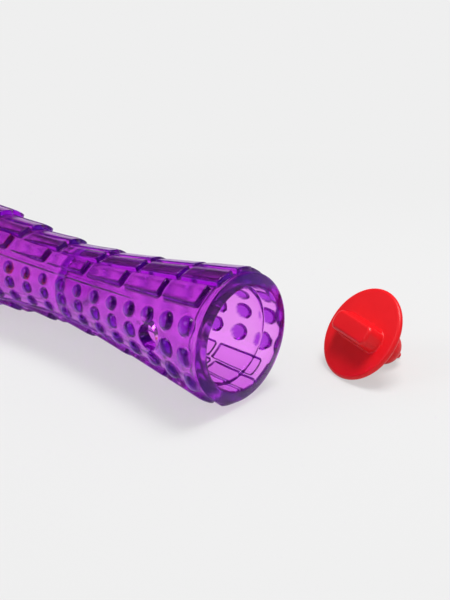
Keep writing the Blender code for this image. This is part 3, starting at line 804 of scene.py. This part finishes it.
def rest_tilt():
    """How far the loose plug's grip looks up, with its disc's edge and its bulb's end on the floor."""
    edge = DISC_THICKNESS / 2
    reach = edge + FIT_CLEARANCE + BULB_STRAIGHT
    spread = DISC_RADIUS - edge
    return math.atan2(spread, reach) - math.asin((BULB_RADIUS - edge) / math.hypot(spread, reach))


def seated_matrix(origin):
    """The left plug in its mouth, its grip upright and pointing out along -X."""
    seat = origin - Vector(((SHOULDER_X + FIT_CLEARANCE) * MM, 0.0, 0.0))
    return Matrix.Translation(seat) @ Matrix.Rotation(math.radians(-90), 4, "Y")


def loose_matrix(origin):
    """The right plug as it lies on the floor beside the open mouth."""
    tilt = rest_tilt()
    edge = DISC_THICKNESS / 2
    azimuth = math.radians(LOOSE_PLUG_AZIMUTH)
    level = math.cos(tilt)
    front = Vector((level * math.cos(azimuth), level * math.sin(azimuth), math.sin(tilt)))
    height = (DISC_RADIUS - edge) * level + edge
    middle = Vector((origin.x + LOOSE_PLUG_X * MM, origin.y + LOOSE_PLUG_Y * MM, height * MM))
    turn = front.to_track_quat("Z", "Y").to_matrix().to_4x4()
    spin = Matrix.Rotation(math.radians(LOOSE_PLUG_SPIN), 4, "Z")
    return Matrix.Translation(middle - front * edge * MM) @ turn @ spin


def make_camera(origin):
    """The photograph's camera, placed by its turn, height angle, roll and view of the tube's middle."""
    yaw, elevation, roll = (math.radians(a) for a in (CAMERA_YAW, CAMERA_ELEVATION, CAMERA_ROLL))
    level = Matrix(((math.cos(yaw), math.sin(yaw), 0), (-math.sin(yaw), math.cos(yaw), 0), (0, 0, 1)))
    look = Matrix(((1, 0, 0), (0, -math.sin(elevation), -math.cos(elevation)),
                   (0, math.cos(elevation), -math.sin(elevation))))
    tip = Matrix(((math.cos(roll), -math.sin(roll), 0), (math.sin(roll), math.cos(roll), 0), (0, 0, 1)))
    turn = tip @ look @ level
    place = origin - turn.transposed() @ Vector(TUBE_SEEN_AT) * MM
    data = bpy.data.cameras.new("photo_camera")
    data.sensor_fit = "VERTICAL"
    data.sensor_height = SENSOR_HEIGHT
    data.lens = FOCAL_PIXELS * SENSOR_HEIGHT / PHOTO_HEIGHT
    camera = bpy.data.objects.new("photo_camera", data)
    axes = Matrix((turn[0], -turn[1], -turn[2])).transposed().to_4x4()
    camera.matrix_world = Matrix.Translation(place) @ axes
    bpy.context.scene.collection.objects.link(camera)
    bpy.context.scene.camera = camera


def seen_directly(tree, path):
    """1 for camera, glossy and transmission rays, and 0 for the rest."""
    some = add_node(tree, "ShaderNodeMath", {"operation": "MAXIMUM"})
    tree.links.new(path.outputs["Is Camera Ray"], some.inputs[0])
    tree.links.new(path.outputs["Is Glossy Ray"], some.inputs[1])
    any_of = add_node(tree, "ShaderNodeMath", {"operation": "MAXIMUM"})
    tree.links.new(some.outputs[0], any_of.inputs[0])
    tree.links.new(path.outputs["Is Transmission Ray"], any_of.inputs[1])
    return any_of.outputs[0]


def backdrop_colour(tree, path):
    """The backdrop's grey, but white for light that comes through the rubber, as from a lit table."""
    colour = add_node(tree, "ShaderNodeMix", {"data_type": "RGBA"},
                      links={"Factor": path.outputs["Is Transmission Ray"]})
    colour.inputs["A"].default_value = to_linear(BACKGROUND)
    colour.inputs["B"].default_value = (1.0, 1.0, 1.0, 1.0)
    return colour.outputs["Result"]


def make_world():
    """A pale room: even light, and the backdrop's colour where it shows or is mirrored, dim overhead."""
    world = bpy.data.worlds.new("pale_room")
    bpy.context.scene.world = world
    world.use_nodes = True
    tree = world.node_tree
    tree.nodes.clear()
    place = add_node(tree, "ShaderNodeTexCoord")
    split = add_node(tree, "ShaderNodeSeparateXYZ", links={"Vector": place.outputs["Generated"]})
    path = add_node(tree, "ShaderNodeLightPath")
    ceilings = (CEILING_FADE, CEILING_SHARE), (MIRRORED_CEILING_FADE, MIRRORED_CEILING_SHARE)
    heights = [add_node(tree, "ShaderNodeMapRange", {"interpolation_type": "SMOOTHSTEP"},
                        inputs={"From Min": fade[0], "From Max": fade[1], "To Min": 1.0, "To Max": share},
                        links={"Value": split.outputs["Z"]}).outputs["Result"]
               for fade, share in ceilings]
    strength = add_node(tree, "ShaderNodeMix", {"data_type": "FLOAT"},
                        links={"Factor": path.outputs["Is Glossy Ray"], "A": heights[0], "B": heights[1]})
    shown = add_node(tree, "ShaderNodeBackground",
                     links={"Color": backdrop_colour(tree, path), "Strength": strength.outputs["Result"]})
    light = add_node(tree, "ShaderNodeBackground", inputs={"Color": (1, 1, 1, 1), "Strength": ROOM_LIGHT})
    mix = add_node(tree, "ShaderNodeMixShader", links={"Fac": seen_directly(tree, path)})
    tree.links.new(light.outputs[0], mix.inputs[1])
    tree.links.new(shown.outputs[0], mix.inputs[2])
    output = add_node(tree, "ShaderNodeOutputWorld")
    tree.links.new(mix.outputs[0], output.inputs["Surface"])


def make_floor():
    """A pale matt floor that takes the shadow near the object and fades to the background beyond."""
    half = FLOOR_SIZE / 2
    mesh = bpy.data.meshes.new("floor")
    corners = [(-half, -half, 0), (half, -half, 0), (half, half, 0), (-half, half, 0)]
    mesh.from_pydata(corners, [], [(0, 1, 2, 3)])
    floor = bpy.data.objects.new("floor", mesh)
    bpy.context.scene.collection.objects.link(floor)
    material, tree, output = make_material("pale_floor")
    place = add_node(tree, "ShaderNodeTexCoord")
    away = add_node(tree, "ShaderNodeVectorMath", {"operation": "LENGTH"},
                    links={"Vector": place.outputs["Object"]})
    path = add_node(tree, "ShaderNodeLightPath")
    least = add_node(tree, "ShaderNodeMix", {"data_type": "FLOAT"},
                     inputs={"A": 1.0 - SHADOW_SHARE, "B": 1.0 - SHADOW_SHARE_THROUGH},
                     links={"Factor": path.outputs["Is Transmission Ray"]})
    fade = add_node(tree, "ShaderNodeMapRange", {"interpolation_type": "SMOOTHSTEP"},
                    inputs={"From Min": FLOOR_FADE[0], "From Max": FLOOR_FADE[1]},
                    links={"Value": away.outputs["Value"], "To Min": least.outputs["Result"]})
    amount = add_node(tree, "ShaderNodeMath", {"operation": "MULTIPLY"})
    tree.links.new(fade.outputs["Result"], amount.inputs[0])
    tree.links.new(seen_directly(tree, path), amount.inputs[1])
    matt = add_node(tree, "ShaderNodeBsdfDiffuse", inputs={"Color": (*[FLOOR_ALBEDO] * 3, 1.0)})
    shown = add_node(tree, "ShaderNodeEmission", inputs={"Strength": 1.0},
                     links={"Color": backdrop_colour(tree, path)})
    mix = add_node(tree, "ShaderNodeMixShader", links={"Fac": amount.outputs[0]})
    tree.links.new(matt.outputs[0], mix.inputs[1])
    tree.links.new(shown.outputs[0], mix.inputs[2])
    tree.links.new(mix.outputs[0], output.inputs["Surface"])
    dress(floor, material)


def make_lamp(name, place, size, power):
    """A square soft box at place that looks at the middle of the floor."""
    data = bpy.data.lights.new(name, "AREA")
    data.size = size
    data.energy = power
    lamp = bpy.data.objects.new(name, data)
    lamp.location = place
    lamp.rotation_mode = "QUATERNION"
    lamp.rotation_quaternion = (-Vector(place)).to_track_quat("-Z", "Y")
    bpy.context.scene.collection.objects.link(lamp)


low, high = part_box("body")
tube_middle = (low + high) / 2
make_camera(tube_middle)
make_world()
make_floor()
make_lamp("main_soft_box", *MAIN_SOFT_BOX)
make_lamp("front_soft_box", *FRONT_SOFT_BOX)

rubber = tinted_rubber()
plastic = red_polypropylene()
vinyl = soft_vinyl()
holder = white_polystyrene()
film = polyester_film()

tube = make_body(tube_middle)
dress(tube, rubber)
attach(tube, "toy_body")
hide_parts("body")
for side, matrix in (("left", seated_matrix(tube_middle)), ("right", loose_matrix(tube_middle))):
    cap = make_cap(side + "_cap", matrix)
    dress(cap, plastic)
    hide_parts(side + "_plug_cap")
    bulb = make_bulb(side + "_bulb", matrix)
    dress(bulb, vinyl)
    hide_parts(side + "_squeaker_bulb")
    for piece in (cap, bulb):
        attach(piece, side + "_plug")
    for part in ("reed_block", "reed_cover"):
        dress(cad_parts[f"{side}_{part}"], holder)
    dress(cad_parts[side + "_reed"], film)

bpy.context.scene.view_settings.view_transform = "Standard"
